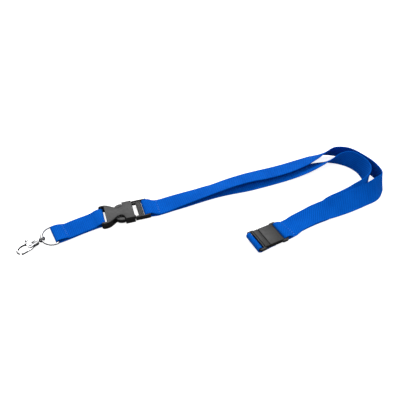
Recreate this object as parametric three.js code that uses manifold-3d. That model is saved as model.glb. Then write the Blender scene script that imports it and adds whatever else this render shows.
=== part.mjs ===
// A neck lanyard of woven webbing, lying on a flat surface. Millimetres, +Z up.
// From left to right: trigger hook, swivel eye, D-ring, short strap, side-release buckle, neck strap.
// A breakaway connector joins the two ends of the neck strap.
import * as THREE from 'three';
import { mergeVertices } from 'three/addons/utils/BufferGeometryUtils.js';
import Module from 'manifold-3d';

const wasm = await Module();
wasm.setup();

// ---- driving dimensions -------------------------------------------------------------------

const WEB_WIDTH = 20;            // both straps
const WEB_THICKNESS = 1.0;
const LAYER_GAP = 0.4;           // between two layers of webbing that lie on each other
const FLOOR_GAP = 0.12;          // from the surface to the lowest webbing
const BAR_CLEARANCE = 0.35;      // between a bar and the webbing folded round it
const EDGE_CLEARANCE = 0.4;      // between the edge of the webbing and the frame beside it
const PART_GAP = 0.3;            // between neighbouring solids

const BUCKLE_X = -63.2;          // centre of the female buckle's mouth
const BUCKLE_Y = -19.2;
const BUCKLE_HEADING = 17.5;     // degrees, from the female half towards the male half
const BUCKLE_THICKNESS = 7.6;
const BUCKLE_LENGTH = 31.4;      // female half
const BUCKLE_CORNER = 2.6;       // radius at the female half's ends
const LOBE_FLARE = 0.9;          // how far the lobes stand out past the mouth, each side
const BUCKLE_BAR_RADIUS = 1.2;   // end bar of the female half
const BUCKLE_SLOT = 3.0;         // webbing slot beside the end bar
const BUCKLE_WALL = 1.3;         // top and bottom walls
const SOCKET_DEPTH = 21;         // cavity that takes the prongs
const WINDOW_START = 9.0;        // side windows, measured from the mouth
const WINDOW_END = 19.6;
const WINDOW_ARCH = 5.4;         // distance from the middle to the deepest point of the arched cut-out

const BUCKLE_SIDE = 1.7;         // walls each side of the cavity

const RAIL_WIDTH = 1.1;          // side rails of the male half
const RAIL_HEIGHT = 4.8;
const MALE_LENGTH = 14.6;        // part of the male half that stays outside
const GRIP_START = 4.0;          // ribbed grip bar, measured from the mouth
const GRIP_WIDTH = 4.9;
const GRIP_HEIGHT = 3.4;
const MALE_BAR_RADIUS = 1.3;
const ROOT_WIDTH = 0.9;          // how far the prongs' roots reach in beside the opening
const ROOT_HEIGHT = 2.8;
const PRONG_THICKNESS = 1.9;
const PRONG_HEIGHT = 4.2;
const PRONG_LENGTH = 17.0;       // from the mouth to the tip
const PRONG_ROOT = 0.9;          // where the prongs start, measured from the mouth
const BARB_HEIGHT = 1.6;         // how far the barb stands out of the prong

const BREAK_X = 57.0;            // middle of the breakaway's seam
const BREAK_Y = -55.3;
const BREAK_HEADING = 28;        // degrees, from the tongue half towards the socket half
const BREAK_THICKNESS = 4.2;
const BREAK_SOCKET_LENGTH = 14.5;
const BREAK_COLLAR_LENGTH = 5.0; // narrow strip of the tongue half
const BREAK_LEDGE = 1.3;         // lower step beside the strip
const BREAK_BAR_RADIUS = 1.1;
const BREAK_SLOT = 2.5;
const BREAK_ARM = 1.9;           // width of the arms that carry the bars
const TAB_WIDTH = 14;            // tab that plugs into the socket
const TAB_THICKNESS = 1.8;
const TAB_LENGTH = 10;
const CUT_X = 34.0;              // where the length of webbing that moves with the tongue half begins
const CUT_Y = 3.9;               // and how far it lies to the far side of the connector's middle line

const RING_HEADING = 29;         // degrees, from the bow of the D-ring towards the short strap
const RING_X = -130.6;           // middle of the D-ring's straight bar
const RING_Y = -49.2;
const RING_WIRE = 1.0;           // radius
const RING_DEPTH = 12.4;         // from the bar to the middle of the bow

const HOOK_HEADING = 223;        // degrees, from the eye towards the tip of the claw
const EYE_WIRE = 0.85;           // radius
const EYE_CLEARANCE = 0.4;       // between the eye and the ring's wire
const STEM_RADIUS = 0.95;
const HEAD_RADIUS = 1.5;
const HEAD_LENGTH = 1.0;
const BARREL_RADIUS = 2.6;
const BARREL_START = 4.0;        // measured from the middle of the eye
const BARREL_LENGTH = 4.6;
const HOOK_THICKNESS = 3.2;
const CLAW_THICKNESS = 2.2;
const CLAW_WALL = 1.4;
const CLAW_LENGTH = 14.6;        // outside length of the oval claw
const CLAW_WIDTH = 11.0;
const CLAW_MIDDLE = 17.0;        // measured from the middle of the eye
const RIVET_RADIUS = 0.9;
const RIVET_HEAD_RADIUS = 1.5;
const RIVET_HEAD_HEIGHT = 0.5;
const RIVET_AT = 11.0;           // measured from the middle of the eye
const LEVER_THICKNESS = 1.3;     // inside the body's slot
const LEVER_BOSS = 2.0;          // radius of the lever round the rivet
const THUMB_Y = -7.6;            // middle of the thumb tab
const CLAW_Y = -0.6;             // middle of the claw, beside the hook's middle line
const GATE_Y = 3.8;              // middle of the gate
const GATE_WIDTH = 1.4;
const GATE_THICKNESS = 1.9;
const GATE_SETBACK = 1.0;        // from the inside of the claw's nose to the gate's tip

const SHORT_REACH = 15;          // how far the short strap runs straight out from each bar
const DRAWN_WIDTH = 20;          // width of webbing that the neck strap's stations are drawn for

const STEPS_BETWEEN = 4;         // steps of a band between its stations

const THREAD_RADIUS = 0.17;
const THREAD_GAP = 0.15;         // between the thread and the webbing
const STITCH_PITCH = 1.3;
const STITCH_SWING = 0.35;       // each side of the row
const RING_ROW = 8.8;            // rows of stitches, measured from the bars
const BUCKLE_ROW = 11.7;
const SOCKET_ROW = 8.2;

// ---- worked out from the driving dimensions -----------------------------------------------

const HALF_WEB = WEB_WIDTH / 2;
const SLOT_HALF = HALF_WEB + EDGE_CLEARANCE;
const LAYER_STEP = WEB_THICKNESS + LAYER_GAP;
const LOWER_Z = FLOOR_GAP + WEB_THICKNESS / 2;
const UPPER_Z = LOWER_Z + LAYER_STEP;
const THIRD_Z = UPPER_Z + LAYER_STEP;
const BUCKLE_Z = BUCKLE_THICKNESS / 2;
const BUCKLE_HALF = SLOT_HALF + RAIL_WIDTH;
const CHANNEL_HALF = BUCKLE_HALF - BUCKLE_SIDE;
const CAVITY_Z = BUCKLE_THICKNESS / 2 - BUCKLE_WALL;
const PRONG_OUTER = CHANNEL_HALF - PART_GAP;
const PRONG_INNER = PRONG_OUTER - PRONG_THICKNESS;
const MALE_SLOT = WEB_THICKNESS + 2 * BAR_CLEARANCE;
const FEMALE_BAR_X = -BUCKLE_LENGTH + BUCKLE_BAR_RADIUS;
const MALE_BAR_X = GRIP_START + GRIP_WIDTH + MALE_SLOT + MALE_BAR_RADIUS;
const BREAK_Z = THIRD_Z + BREAK_THICKNESS / 2 - 0.3;
const BREAK_BAR_X = BREAK_SOCKET_LENGTH + BREAK_SLOT + BREAK_BAR_RADIUS;
const TONGUE_BAR_X = -(PART_GAP + BREAK_COLLAR_LENGTH + BREAK_LEDGE + BREAK_SLOT + BREAK_BAR_RADIUS);
const CASE_HALF = SLOT_HALF + 0.4;
const ARM_HALF = SLOT_HALF + BREAK_ARM;
const TAB_Z = TAB_THICKNESS / 2;
const EYE_HOLE = RING_WIRE + EYE_CLEARANCE;
const EYE_RADIUS = EYE_HOLE + EYE_WIRE;
const EYE_Z = EYE_RADIUS + EYE_WIRE + FLOOR_GAP;
const BARREL_END = BARREL_START + BARREL_LENGTH;
const HEAD_END = BARREL_END - 1.0;
const GATE_INNER = GATE_Y - GATE_WIDTH / 2;
const GATE_OUTER = GATE_Y + GATE_WIDTH / 2;
const GATE_TIP = CLAW_MIDDLE + CLAW_LENGTH / 2 - CLAW_WALL - GATE_SETBACK;

const degrees = THREE.MathUtils.degToRad;

// ---- helpers ------------------------------------------------------------------------------

function toManifold(geometry) {
  const bare = new THREE.BufferGeometry();
  bare.setAttribute('position', geometry.getAttribute('position').clone());
  if (geometry.index) bare.setIndex(geometry.index.clone());
  const merged = mergeVertices(bare, 1e-3);
  const corners = merged.index.array;
  const kept = [];
  for (let i = 0; i < corners.length; i += 3) {
    const [a, b, c] = corners.slice(i, i + 3);
    if (a !== b && b !== c && c !== a) kept.push(a, b, c);
  }
  return new wasm.Manifold(new wasm.Mesh({
    numProp: 3,
    vertProperties: new Float32Array(merged.getAttribute('position').array),
    triVerts: new Uint32Array(kept),
  }));
}

function toGeometry(manifold) {
  const mesh = manifold.getMesh();
  const geometry = new THREE.BufferGeometry();
  geometry.setAttribute('position', new THREE.BufferAttribute(new Float32Array(mesh.vertProperties), 3));
  geometry.setIndex(new THREE.BufferAttribute(new Uint32Array(mesh.triVerts), 1));
  geometry.computeVertexNormals();
  return geometry;
}

function shape(add, cut = []) {
  let body = toManifold(add[0]);
  for (const piece of add.slice(1)) body = body.add(toManifold(piece));
  for (const piece of cut) body = body.subtract(toManifold(piece));
  return toGeometry(body);
}

function box(x0, x1, y0, y1, z0, z1) {
  const geometry = new THREE.BoxGeometry(x1 - x0, y1 - y0, z1 - z0);
  return geometry.translate((x0 + x1) / 2, (y0 + y1) / 2, (z0 + z1) / 2);
}

// A flat outline in XY, centred on z = 0, with its top and bottom edges rounded by `bevel`.
function slab(outline, thickness, bevel = 0, curveSegments = 8) {
  const geometry = new THREE.ExtrudeGeometry(outline, {
    depth: thickness - 2 * bevel,
    bevelEnabled: bevel > 0,
    bevelThickness: bevel,
    bevelSize: bevel,
    bevelOffset: -bevel,
    bevelSegments: 2,
    curveSegments,
  });
  return geometry.translate(0, 0, bevel - thickness / 2);
}

function roundedOutline(x0, x1, y0, y1, radius) {
  const outline = new THREE.Shape();
  outline.moveTo(x0 + radius, y0);
  outline.lineTo(x1 - radius, y0);
  outline.absarc(x1 - radius, y0 + radius, radius, -Math.PI / 2, 0);
  outline.lineTo(x1, y1 - radius);
  outline.absarc(x1 - radius, y1 - radius, radius, 0, Math.PI / 2);
  outline.lineTo(x0 + radius, y1);
  outline.absarc(x0 + radius, y1 - radius, radius, Math.PI / 2, Math.PI);
  outline.lineTo(x0, y0 + radius);
  outline.absarc(x0 + radius, y0 + radius, radius, Math.PI, 1.5 * Math.PI);
  return outline;
}

// A round bar across the part (along Y) between y0 and y1.
function crossBar(radius, x, y0, y1, sides = 20) {
  const geometry = new THREE.CylinderGeometry(radius, radius, y1 - y0, sides);
  return geometry.translate(x, (y0 + y1) / 2, 0);
}

// A round bar along X between x0 and x1.
function lengthBar(radius, x0, x1, sides = 20) {
  const geometry = new THREE.CylinderGeometry(radius, radius, x1 - x0, sides);
  return geometry.rotateZ(Math.PI / 2).translate((x0 + x1) / 2, 0, 0);
}

function tube(curve, radius, steps, sides = 12) {
  const section = new THREE.Shape();
  section.absarc(0, 0, radius, 0, 2 * Math.PI);
  return new THREE.ExtrudeGeometry(section, { extrudePath: curve, steps, curveSegments: sides / 2 });
}

// A frame of its own on the surface: along, across (to the left) and up, as places in the whole object.
function localFrame(x, y, heading) {
  const turn = degrees(heading);
  return (along, across, up) => new THREE.Vector3(
    x + along * Math.cos(turn) - across * Math.sin(turn),
    y + along * Math.sin(turn) + across * Math.cos(turn),
    up,
  );
}

// Where a band of webbing runs. Each station is the middle of the band, the plan direction of its outer
// edge in degrees, and how far that edge dips below level, in degrees.
function band(stations) {
  const middle = new THREE.CatmullRomCurve3(stations.map((s) => s.at), false, 'centripetal');
  const angles = new THREE.CatmullRomCurve3(stations.map((s) => new THREE.Vector3(s.across, s.dip, 0)));
  return (t) => {
    const centre = middle.getPoint(t);
    const tangent = middle.getTangent(t);
    const angle = angles.getPoint(t);
    const across = degrees(angle.x);
    const dip = degrees(angle.y);
    const width = new THREE.Vector3(
      Math.cos(across) * Math.cos(dip),
      Math.sin(across) * Math.cos(dip),
      -Math.sin(dip),
    );
    width.addScaledVector(tangent, -width.dot(tangent)).normalize();
    return { centre, width, normal: new THREE.Vector3().crossVectors(tangent, width).normalize() };
  };
}

function webbing(stations) {
  const bandAt = band(stations);
  const count = (stations.length - 1) * STEPS_BETWEEN;
  const positions = [];
  const index = [];
  for (let i = 0; i <= count; i += 1) {
    const { centre, width, normal } = bandAt(i / count);
    for (const [w, n] of [[-1, -1], [1, -1], [1, 1], [-1, 1]]) {
      const corner = centre.clone();
      corner.addScaledVector(width, w * HALF_WEB);
      corner.addScaledVector(normal, n * WEB_THICKNESS / 2);
      positions.push(corner.x, corner.y, corner.z);
    }
  }
  for (let i = 0; i < count; i += 1) {
    for (let side = 0; side < 4; side += 1) {
      const a = 4 * i + side;
      const b = 4 * i + (side + 1) % 4;
      index.push(a, b, b + 4, a, b + 4, a + 4);
    }
  }
  const last = 4 * count;
  index.push(0, 3, 2, 0, 2, 1, last, last + 1, last + 2, last, last + 2, last + 3);
  const geometry = new THREE.BufferGeometry();
  geometry.setAttribute('position', new THREE.Float32BufferAttribute(positions, 3));
  geometry.setIndex(index);
  geometry.computeVertexNormals();
  return geometry;
}

const station = (at, across, dip = 0) => ({ at, across, dip });

function place(x, y, z, across, dip) {
  const lift = (WEB_WIDTH - DRAWN_WIDTH) / 2 * Math.sin(degrees(Math.abs(dip)));
  return station(new THREE.Vector3(x, y, z + lift), across, dip);
}

// Sewing thread: a row of zigzag stitches across the top of the band's highest layer, `along` the frame.
function stitches(stations, frame, along) {
  const bandAt = band(stations);
  const start = frame(along, 0, 0);
  const ahead = frame(along + 1, 0, 0).sub(start);
  const samples = stations.length * 100;
  let best = { z: 0, t: 0, speed: 1 };
  for (let i = 0; i < samples; i += 1) {
    const from = bandAt(i / samples).centre;
    const to = bandAt((i + 1) / samples).centre;
    const crosses = from.clone().sub(start).dot(ahead) * to.clone().sub(start).dot(ahead) <= 0;
    const near = Math.hypot(from.x - start.x, from.y - start.y) < HALF_WEB / 2;
    if (crosses && near && from.z > best.z) {
      best = { z: from.z, t: i / samples, speed: from.distanceTo(to) * samples };
    }
  }
  const points = [];
  const count = Math.round((WEB_WIDTH - 3) / STITCH_PITCH);
  for (let i = 0; i <= count; i += 1) {
    const swing = (i % 2 ? STITCH_SWING : -STITCH_SWING) / best.speed;
    const { centre, width, normal } = bandAt(best.t + swing);
    centre.addScaledVector(width, (i - count / 2) * STITCH_PITCH);
    const lift = WEB_THICKNESS / 2 + THREAD_RADIUS + THREAD_GAP;
    points.push(centre.addScaledVector(normal, Math.sign(normal.z) * lift));
  }
  return tube(new THREE.CatmullRomCurve3(points), THREAD_RADIUS, count * 3, 6);
}

// ---- materials ----------------------------------------------------------------------------

const material = (color, roughness, metalness) => () => (
  new THREE.MeshStandardMaterial({ color, roughness, metalness })
);
const blueWebbing = material(0x2069cf, 0.85, 0);
const blueThread = material(0x3d7be0, 0.7, 0);
const blackPlastic = material(0x2a2a2b, 0.5, 0);
const chrome = material(0xe8e8ea, 0.15, 1);

const lanyard = new THREE.Group();

function addPart(parent, name, geometry, makeMaterial) {
  const mesh = new THREE.Mesh(geometry, makeMaterial());
  mesh.name = name;
  parent.add(mesh);
}

function addGroup(x, y, z, heading) {
  const group = new THREE.Group();
  group.position.set(x, y, z);
  group.rotation.z = degrees(heading);
  lanyard.add(group);
  return group;
}

// ---- side-release buckle, female half -----------------------------------------------------

// Plan outline of the female half: mouth at x = 0, lobes at the far end, an arched cut-out each side.
function femaleOutline() {
  const lobeHalf = BUCKLE_HALF + LOBE_FLARE;
  const outline = new THREE.Shape();
  outline.moveTo(0, -BUCKLE_HALF);
  outline.lineTo(0, BUCKLE_HALF);
  outline.lineTo(-WINDOW_START, BUCKLE_HALF);
  outline.bezierCurveTo(-WINDOW_START - 0.2, 7.4, -10.4, WINDOW_ARCH, -12.6, WINDOW_ARCH);
  outline.bezierCurveTo(-15.2, WINDOW_ARCH, -17.4, 7.2, -WINDOW_END, 9.0);
  outline.bezierCurveTo(-22.0, 10.9, -24.2, lobeHalf, -27.0, lobeHalf);
  outline.lineTo(-BUCKLE_LENGTH + BUCKLE_CORNER, lobeHalf);
  outline.absarc(
    -BUCKLE_LENGTH + BUCKLE_CORNER, lobeHalf - BUCKLE_CORNER, BUCKLE_CORNER, Math.PI / 2, Math.PI,
  );
  outline.lineTo(-BUCKLE_LENGTH, -lobeHalf + BUCKLE_CORNER);
  outline.absarc(
    -BUCKLE_LENGTH + BUCKLE_CORNER, -lobeHalf + BUCKLE_CORNER, BUCKLE_CORNER, Math.PI, 1.5 * Math.PI,
  );
  outline.lineTo(-27.0, -lobeHalf);
  outline.bezierCurveTo(-24.2, -lobeHalf, -22.0, -10.9, -WINDOW_END, -9.0);
  outline.bezierCurveTo(-17.4, -7.2, -15.2, -WINDOW_ARCH, -12.6, -WINDOW_ARCH);
  outline.bezierCurveTo(-10.4, -WINDOW_ARCH, -WINDOW_START - 0.2, -7.4, -WINDOW_START, -BUCKLE_HALF);
  outline.lineTo(0, -BUCKLE_HALF);
  return outline;
}

function femaleHalf() {
  const end = -BUCKLE_LENGTH;
  const slotEnd = FEMALE_BAR_X + BUCKLE_BAR_RADIUS + BUCKLE_SLOT;
  const bar = crossBar(BUCKLE_BAR_RADIUS, FEMALE_BAR_X, -SLOT_HALF - 1, SLOT_HALF + 1);
  const body = shape([slab(femaleOutline(), BUCKLE_THICKNESS, 0.7)], [
    box(-SOCKET_DEPTH, 1, -CHANNEL_HALF, CHANNEL_HALF, -CAVITY_Z, CAVITY_Z),
    box(end - 1, slotEnd, -SLOT_HALF, SLOT_HALF, -BUCKLE_THICKNESS, BUCKLE_THICKNESS),
  ]);
  return shape([body, bar]);
}

const buckle = addGroup(BUCKLE_X, BUCKLE_Y, BUCKLE_Z, BUCKLE_HEADING);
addPart(buckle, 'buckle_female_body', femaleHalf(), blackPlastic);

// ---- side-release buckle, male half -------------------------------------------------------

function maleFrame() {
  const gripEnd = GRIP_START + GRIP_WIDTH;
  const reach = SLOT_HALF + 0.5;
  const parts = [
    slab(roundedOutline(GRIP_START, gripEnd, -reach, reach, 0.5), GRIP_HEIGHT, 0.4),
    crossBar(MALE_BAR_RADIUS, MALE_BAR_X, -reach, reach),
  ];
  for (const turn of [0, Math.PI]) {
    const rail = slab(roundedOutline(PART_GAP, MALE_LENGTH, SLOT_HALF, BUCKLE_HALF, 0.5), RAIL_HEIGHT, 0.45);
    const rootInner = PRONG_OUTER - ROOT_WIDTH;
    const rootZ = ROOT_HEIGHT / 2;
    const root = box(PRONG_ROOT + PART_GAP, GRIP_START + 0.5, rootInner, reach, -rootZ, rootZ);
    parts.push(rail.rotateX(turn), root.rotateX(turn));
  }
  const grooves = [];
  const pitch = 1.9;
  for (let i = -5; i <= 5; i += 1) {
    for (const face of [-1, 1]) {
      const groove = box(-GRIP_WIDTH, GRIP_WIDTH, -0.3, 0.3, -0.3, 0.3);
      groove.rotateZ(degrees(35));
      grooves.push(groove.translate(GRIP_START + GRIP_WIDTH / 2, i * pitch, face * GRIP_HEIGHT / 2));
    }
  }
  return shape(parts, grooves);
}

// One flexible arm with its barb, on the far side; the near one is the same arm turned over.
function prong() {
  const outline = new THREE.Shape();
  const barbStart = -WINDOW_START - PART_GAP;
  const barb = PRONG_OUTER + BARB_HEIGHT;
  outline.moveTo(PRONG_ROOT, PRONG_INNER);
  outline.lineTo(PRONG_ROOT, PRONG_OUTER);
  outline.lineTo(barbStart, PRONG_OUTER);
  outline.lineTo(barbStart - 0.3, barb);
  outline.bezierCurveTo(-12.5, barb + 0.1, -15, barb - 0.4, -PRONG_LENGTH, PRONG_OUTER - 1.4);
  outline.lineTo(-PRONG_LENGTH, PRONG_INNER - 0.6);
  outline.bezierCurveTo(-14, PRONG_INNER - 0.9, -11, PRONG_INNER - 0.3, -8, PRONG_INNER);
  return slab(outline, PRONG_HEIGHT, 0.25);
}

addPart(buckle, 'buckle_male_frame', maleFrame(), blackPlastic);
addPart(buckle, 'buckle_prong_far', prong(), blackPlastic);
addPart(buckle, 'buckle_prong_near', prong().rotateX(Math.PI), blackPlastic);

// ---- breakaway connector ------------------------------------------------------------------

// A bar with its two arms, which leave the case at `from` and round the corners at `to`.
function barFrame(from, to, barX) {
  const low = Math.min(from, to);
  const high = Math.max(from, to);
  const outer = roundedOutline(low, high, -ARM_HALF, ARM_HALF, 2.0);
  const inner = roundedOutline(low - 2, high + 2, -SLOT_HALF, SLOT_HALF, 0.2);
  const arms = shape([slab(outer, 2.6, 0.5)], [slab(inner, 10)]);
  return [arms, crossBar(BREAK_BAR_RADIUS, barX, -SLOT_HALF - 0.5, SLOT_HALF + 0.5)];
}

function breakawaySocket() {
  const end = BREAK_BAR_X + BREAK_BAR_RADIUS;
  const plate = roundedOutline(0, BREAK_SOCKET_LENGTH, -CASE_HALF, CASE_HALF, 0.8);
  const half = TAB_WIDTH / 2 + PART_GAP;
  const mouth = box(-1, TAB_LENGTH + PART_GAP, -half, half, -TAB_Z - PART_GAP, TAB_Z + PART_GAP);
  const [arms, bar] = barFrame(BREAK_SOCKET_LENGTH - 2.5, end, BREAK_BAR_X);
  const body = shape([slab(plate, BREAK_THICKNESS, 0.5)], [mouth]);
  const clear = box(BREAK_SOCKET_LENGTH - 4, BREAK_SOCKET_LENGTH, -SLOT_HALF, SLOT_HALF, -3, 3);
  return shape([body, shape([arms], [clear]), bar]);
}

function breakawayTongue() {
  const seam = -PART_GAP;
  const collarEnd = seam - BREAK_COLLAR_LENGTH;
  const ledgeEnd = collarEnd - BREAK_LEDGE;
  const collar = roundedOutline(collarEnd, seam, -CASE_HALF, CASE_HALF, 0.6);
  const ledge = box(ledgeEnd, collarEnd + 1, -SLOT_HALF - 0.3, SLOT_HALF + 0.3, -1.3, 1.3);
  const tab = box(seam - 1, TAB_LENGTH, -TAB_WIDTH / 2, TAB_WIDTH / 2, -TAB_Z, TAB_Z);
  const [arms, bar] = barFrame(collarEnd + 1.5, TONGUE_BAR_X - BREAK_BAR_RADIUS, TONGUE_BAR_X);
  return shape([slab(collar, BREAK_THICKNESS, 0.5), ledge, tab, arms, bar]);
}

const breakaway = addGroup(BREAK_X, BREAK_Y, BREAK_Z, BREAK_HEADING);
addPart(breakaway, 'breakaway_socket', breakawaySocket(), blackPlastic);
addPart(breakaway, 'breakaway_tongue', breakawayTongue(), blackPlastic);

// ---- D-ring -------------------------------------------------------------------------------

// One bent wire. Its ends meet with a small gap in the middle of the straight bar.
function ringWire() {
  const half = SLOT_HALF + RING_WIRE;
  const corner = 2.4;
  const points = [[0, 0.15], [0, half - corner - 1]];
  for (const angle of [0, 30, 60, 90]) {
    const turn = degrees(angle);
    points.push([-corner + corner * Math.cos(turn), half - corner + corner * Math.sin(turn)]);
  }
  const bowStart = -corner;
  const bowDepth = RING_DEPTH - corner;
  for (const angle of [72, 54, 36, 18]) {
    const turn = degrees(angle);
    points.push([bowStart - bowDepth * Math.cos(turn), half * Math.sin(turn)]);
  }
  const mirrored = points.map(([x, y]) => [x, -y]).reverse();
  const route = [...points, [-RING_DEPTH, 0], ...mirrored];
  return new THREE.CatmullRomCurve3(route.map(([x, y]) => new THREE.Vector3(x, y, 0)), false, 'centripetal');
}

const ring = addGroup(RING_X, RING_Y, EYE_Z, RING_HEADING);
addPart(ring, 'd_ring', tube(ringWire(), RING_WIRE, 64, 12), chrome);

// ---- trigger hook -------------------------------------------------------------------------

// The eye goes round the middle of the D-ring's bow.
const ringAt = localFrame(RING_X, RING_Y, RING_HEADING);
const bowPoint = ringAt(-RING_DEPTH, 0, 0);
const hook = addGroup(bowPoint.x, bowPoint.y, EYE_Z, HOOK_HEADING);

function swivelEye() {
  const loop = new THREE.TorusGeometry(EYE_RADIUS, EYE_WIRE, 12, 28).rotateX(Math.PI / 2);
  const headStart = HEAD_END - HEAD_LENGTH;
  return shape([
    loop,
    lengthBar(STEM_RADIUS, EYE_RADIUS, headStart + 0.2, 16),
    lengthBar(HEAD_RADIUS, headStart, HEAD_END, 16),
  ]);
}

// An oval round the middle of the claw, `inset` smaller than the claw's outside.
function clawOval(inset) {
  const oval = new THREE.Shape();
  oval.absellipse(CLAW_MIDDLE, CLAW_Y, CLAW_LENGTH / 2 - inset, CLAW_WIDTH / 2 - inset, 0, 2 * Math.PI);
  return oval;
}

// The space that the tip of the gate sweeps as it swings inwards past the nose of the claw.
function gateSweep() {
  const reach = Math.hypot(GATE_TIP - RIVET_AT, GATE_OUTER) + PART_GAP;
  const disc = new THREE.CylinderGeometry(reach, reach, 2 * HOOK_THICKNESS, 64);
  disc.rotateX(Math.PI / 2).translate(RIVET_AT, 0, 0);
  const far = 2 * reach;
  return shape([disc], [
    box(-far, CLAW_MIDDLE, -far, far, -far, far),
    box(-far, RIVET_AT + far, -far, CLAW_Y, -far, far),
  ]);
}

function rivetHole() {
  const radius = RIVET_RADIUS + PART_GAP;
  const geometry = new THREE.CylinderGeometry(radius, radius, 3 * HOOK_THICKNESS, 16);
  return geometry.rotateX(Math.PI / 2).translate(RIVET_AT, 0, 0);
}

// The claw, its neck and the barrel; the gate closes the claw's near side.
function hookBody() {
  const neckStart = BARREL_END - 1.2;
  const neckEnd = RIVET_AT + LEVER_BOSS + 1.4;
  const neckHalf = 3.4;
  const neck = new THREE.Shape();
  neck.moveTo(neckStart, -2.3);
  neck.bezierCurveTo(neckStart + 2.6, -2.6, neckEnd - 3, -neckHalf - 0.6, neckEnd, -neckHalf - 1.8);
  neck.lineTo(neckEnd, neckHalf);
  neck.bezierCurveTo(neckEnd - 3, neckHalf - 0.3, neckStart + 2.6, 2.5, neckStart, 2.3);
  const slotHalf = LEVER_THICKNESS / 2 + PART_GAP;
  const slotStart = RIVET_AT - LEVER_BOSS - PART_GAP;
  const slotEnd = RIVET_AT + LEVER_BOSS + PART_GAP;
  const boss = new THREE.CylinderGeometry(LEVER_BOSS + 0.4, LEVER_BOSS + 0.4, HOOK_THICKNESS, 32);
  const claw = shape(
    [slab(clawOval(0), CLAW_THICKNESS, 0.6, 16), slab(neck, HOOK_THICKNESS, 0.5)],
    [slab(clawOval(CLAW_WALL), 3 * HOOK_THICKNESS, 0, 16)],
  );
  return shape([
    claw,
    boss.rotateX(Math.PI / 2).translate(RIVET_AT, 0, 0),
    lengthBar(BARREL_RADIUS, BARREL_START, BARREL_END, 24),
  ], [
    gateSweep(),
    box(RIVET_AT + 1, CLAW_MIDDLE + 1, GATE_INNER - 0.6, 7, -HOOK_THICKNESS, HOOK_THICKNESS),
    box(slotStart, slotEnd, -6, 0, -slotHalf, slotHalf),
    box(slotStart, CLAW_MIDDLE - 2, -0.1, 6, -slotHalf, slotHalf),
    lengthBar(STEM_RADIUS + PART_GAP, BARREL_START - 1, HEAD_END, 20),
    lengthBar(HEAD_RADIUS + PART_GAP, HEAD_END - HEAD_LENGTH - PART_GAP, HEAD_END + PART_GAP, 20),
    rivetHole(),
  ]);
}

// Gate, pivot boss and thumb tab in one piece.
function triggerLever() {
  const left = RIVET_AT - LEVER_BOSS;
  const outline = new THREE.Shape();
  outline.moveTo(GATE_TIP - 0.3, GATE_INNER + 0.1);
  outline.lineTo(GATE_TIP - 0.3, GATE_OUTER - 0.1);
  outline.lineTo(RIVET_AT + 1.4, GATE_OUTER - 0.2);
  outline.bezierCurveTo(RIVET_AT - 0.8, GATE_OUTER - 0.4, left, 1.9, left, 0);
  outline.bezierCurveTo(left, -1.6, RIVET_AT - 0.9, -3.6, RIVET_AT - 0.6, THUMB_Y);
  outline.lineTo(RIVET_AT + 0.9, THUMB_Y);
  outline.bezierCurveTo(RIVET_AT + 0.9, -4.2, RIVET_AT + LEVER_BOSS - 0.1, -2.4, RIVET_AT + LEVER_BOSS, 0);
  outline.bezierCurveTo(RIVET_AT + LEVER_BOSS, 1.2, RIVET_AT + 3, 2.0, RIVET_AT + 4, GATE_INNER + 0.1);
  const gate = roundedOutline(RIVET_AT + 5, GATE_TIP, GATE_INNER, GATE_OUTER, 0.5);
  const thumb = roundedOutline(RIVET_AT - 1, RIVET_AT + 1.3, THUMB_Y - 1.2, THUMB_Y + 1.2, 0.8);
  return shape([
    slab(outline, LEVER_THICKNESS, 0, 6),
    slab(gate, GATE_THICKNESS, 0.4, 4),
    slab(thumb, HOOK_THICKNESS - 0.4, 0.5, 4),
  ], [rivetHole()]);
}

function rivet() {
  const reach = HOOK_THICKNESS / 2 + PART_GAP;
  const profile = [
    [0, -reach - RIVET_HEAD_HEIGHT],
    [RIVET_HEAD_RADIUS * 0.7, -reach - RIVET_HEAD_HEIGHT],
    [RIVET_HEAD_RADIUS, -reach - RIVET_HEAD_HEIGHT * 0.4],
    [RIVET_HEAD_RADIUS, -reach],
    [RIVET_RADIUS, -reach],
    [RIVET_RADIUS, reach],
    [RIVET_HEAD_RADIUS, reach],
    [RIVET_HEAD_RADIUS, reach + RIVET_HEAD_HEIGHT * 0.4],
    [RIVET_HEAD_RADIUS * 0.7, reach + RIVET_HEAD_HEIGHT],
    [0, reach + RIVET_HEAD_HEIGHT],
  ].map(([r, y]) => new THREE.Vector2(r, y));
  return new THREE.LatheGeometry(profile, 20).rotateX(Math.PI / 2).translate(RIVET_AT, 0, 0);
}

addPart(hook, 'swivel_eye', swivelEye(), chrome);
addPart(hook, 'hook_body', hookBody(), chrome);
addPart(hook, 'trigger_lever', triggerLever(), chrome);
addPart(hook, 'trigger_rivet', rivet(), chrome);

// ---- short strap --------------------------------------------------------------------------

const buckleAt = localFrame(BUCKLE_X, BUCKLE_Y, BUCKLE_HEADING);
const breakAt = localFrame(BREAK_X, BREAK_Y, BREAK_HEADING);
const barFold = (radius) => radius + BAR_CLEARANCE + WEB_THICKNESS / 2;

// The line between the D-ring's bar and the buckle's end bar, with the heading of each at its end.
const shortLine = new THREE.CubicBezierCurve3(
  ringAt(0, 0, 0),
  ringAt(SHORT_REACH, 0, 0),
  buckleAt(FEMALE_BAR_X - SHORT_REACH, 0, 0),
  buckleAt(FEMALE_BAR_X, 0, 0),
);

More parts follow.
